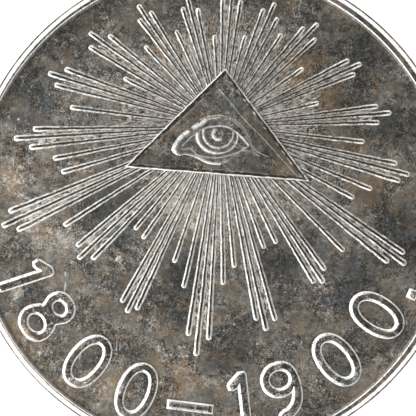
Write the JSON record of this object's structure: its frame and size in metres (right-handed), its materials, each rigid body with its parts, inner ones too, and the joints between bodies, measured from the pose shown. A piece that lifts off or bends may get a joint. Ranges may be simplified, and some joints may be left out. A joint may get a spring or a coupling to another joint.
{
  "type": "commemorative medal",
  "caption": "Round struck metal medal with an eye in a triangle, a glory of raised rays, an arc of plain numerals and a top eyelet.",
  "frame": {"origin": "on the surface that the medal lies on, under the middle of its width and of its length with the eyelet", "axes": "+Z out of the face with the relief, +Y from the middle of the disc to the eyelet"},
  "size_m": [0.028, 0.0324, 0.0022],
  "materials": {
    "tarnished_silver": "old struck silver, darkly tarnished on its flats, rubbed bright along the edges of its relief"
  },
  "bodies": {
    "root": {"medal": "tarnished_silver"}
  },
  "joints": []
}
